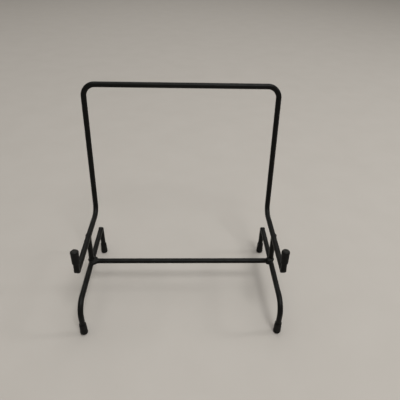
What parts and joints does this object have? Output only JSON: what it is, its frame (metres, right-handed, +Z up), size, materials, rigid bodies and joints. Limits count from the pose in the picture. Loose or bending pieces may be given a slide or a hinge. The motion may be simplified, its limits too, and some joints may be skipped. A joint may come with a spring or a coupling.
{
  "type": "photo album stand",
  "caption": "Bent-wire stand that holds a photo album on level arms, between upturned hooks and a leaning back frame, on a low welded base with soft caps on the feet.",
  "frame": {"origin": "on the floor, in the middle of the four feet", "axes": "+Z up; +X to the right of someone facing the album; +Y away from them, towards the back frame"},
  "size_m": [0.1852, 0.1182, 0.1969],
  "materials": {
    "coated_wire": "satin black powder coat on round steel wire",
    "coated_weld": "rippled weld bead under the same black powder coat",
    "vinyl_cap": "soft black dip-moulded vinyl, slightly matte"
  },
  "bodies": {
    "root": {"back_frame": "coated_wire", "left_runner": "coated_wire", "right_runner": "coated_wire", "crossbar": "coated_wire", "left_post": "coated_wire", "right_post": "coated_wire", "left_crossbar_weld": "coated_weld", "right_crossbar_weld": "coated_weld", "left_post_foot_weld": "coated_weld", "right_post_foot_weld": "coated_weld", "left_post_head_weld": "coated_weld", "right_post_head_weld": "coated_weld", "left_hook_cap": "vinyl_cap", "right_hook_cap": "vinyl_cap", "front_left_foot_cap": "vinyl_cap", "front_right_foot_cap": "vinyl_cap", "rear_left_foot_cap": "vinyl_cap", "rear_right_foot_cap": "vinyl_cap"}
  },
  "joints": []
}
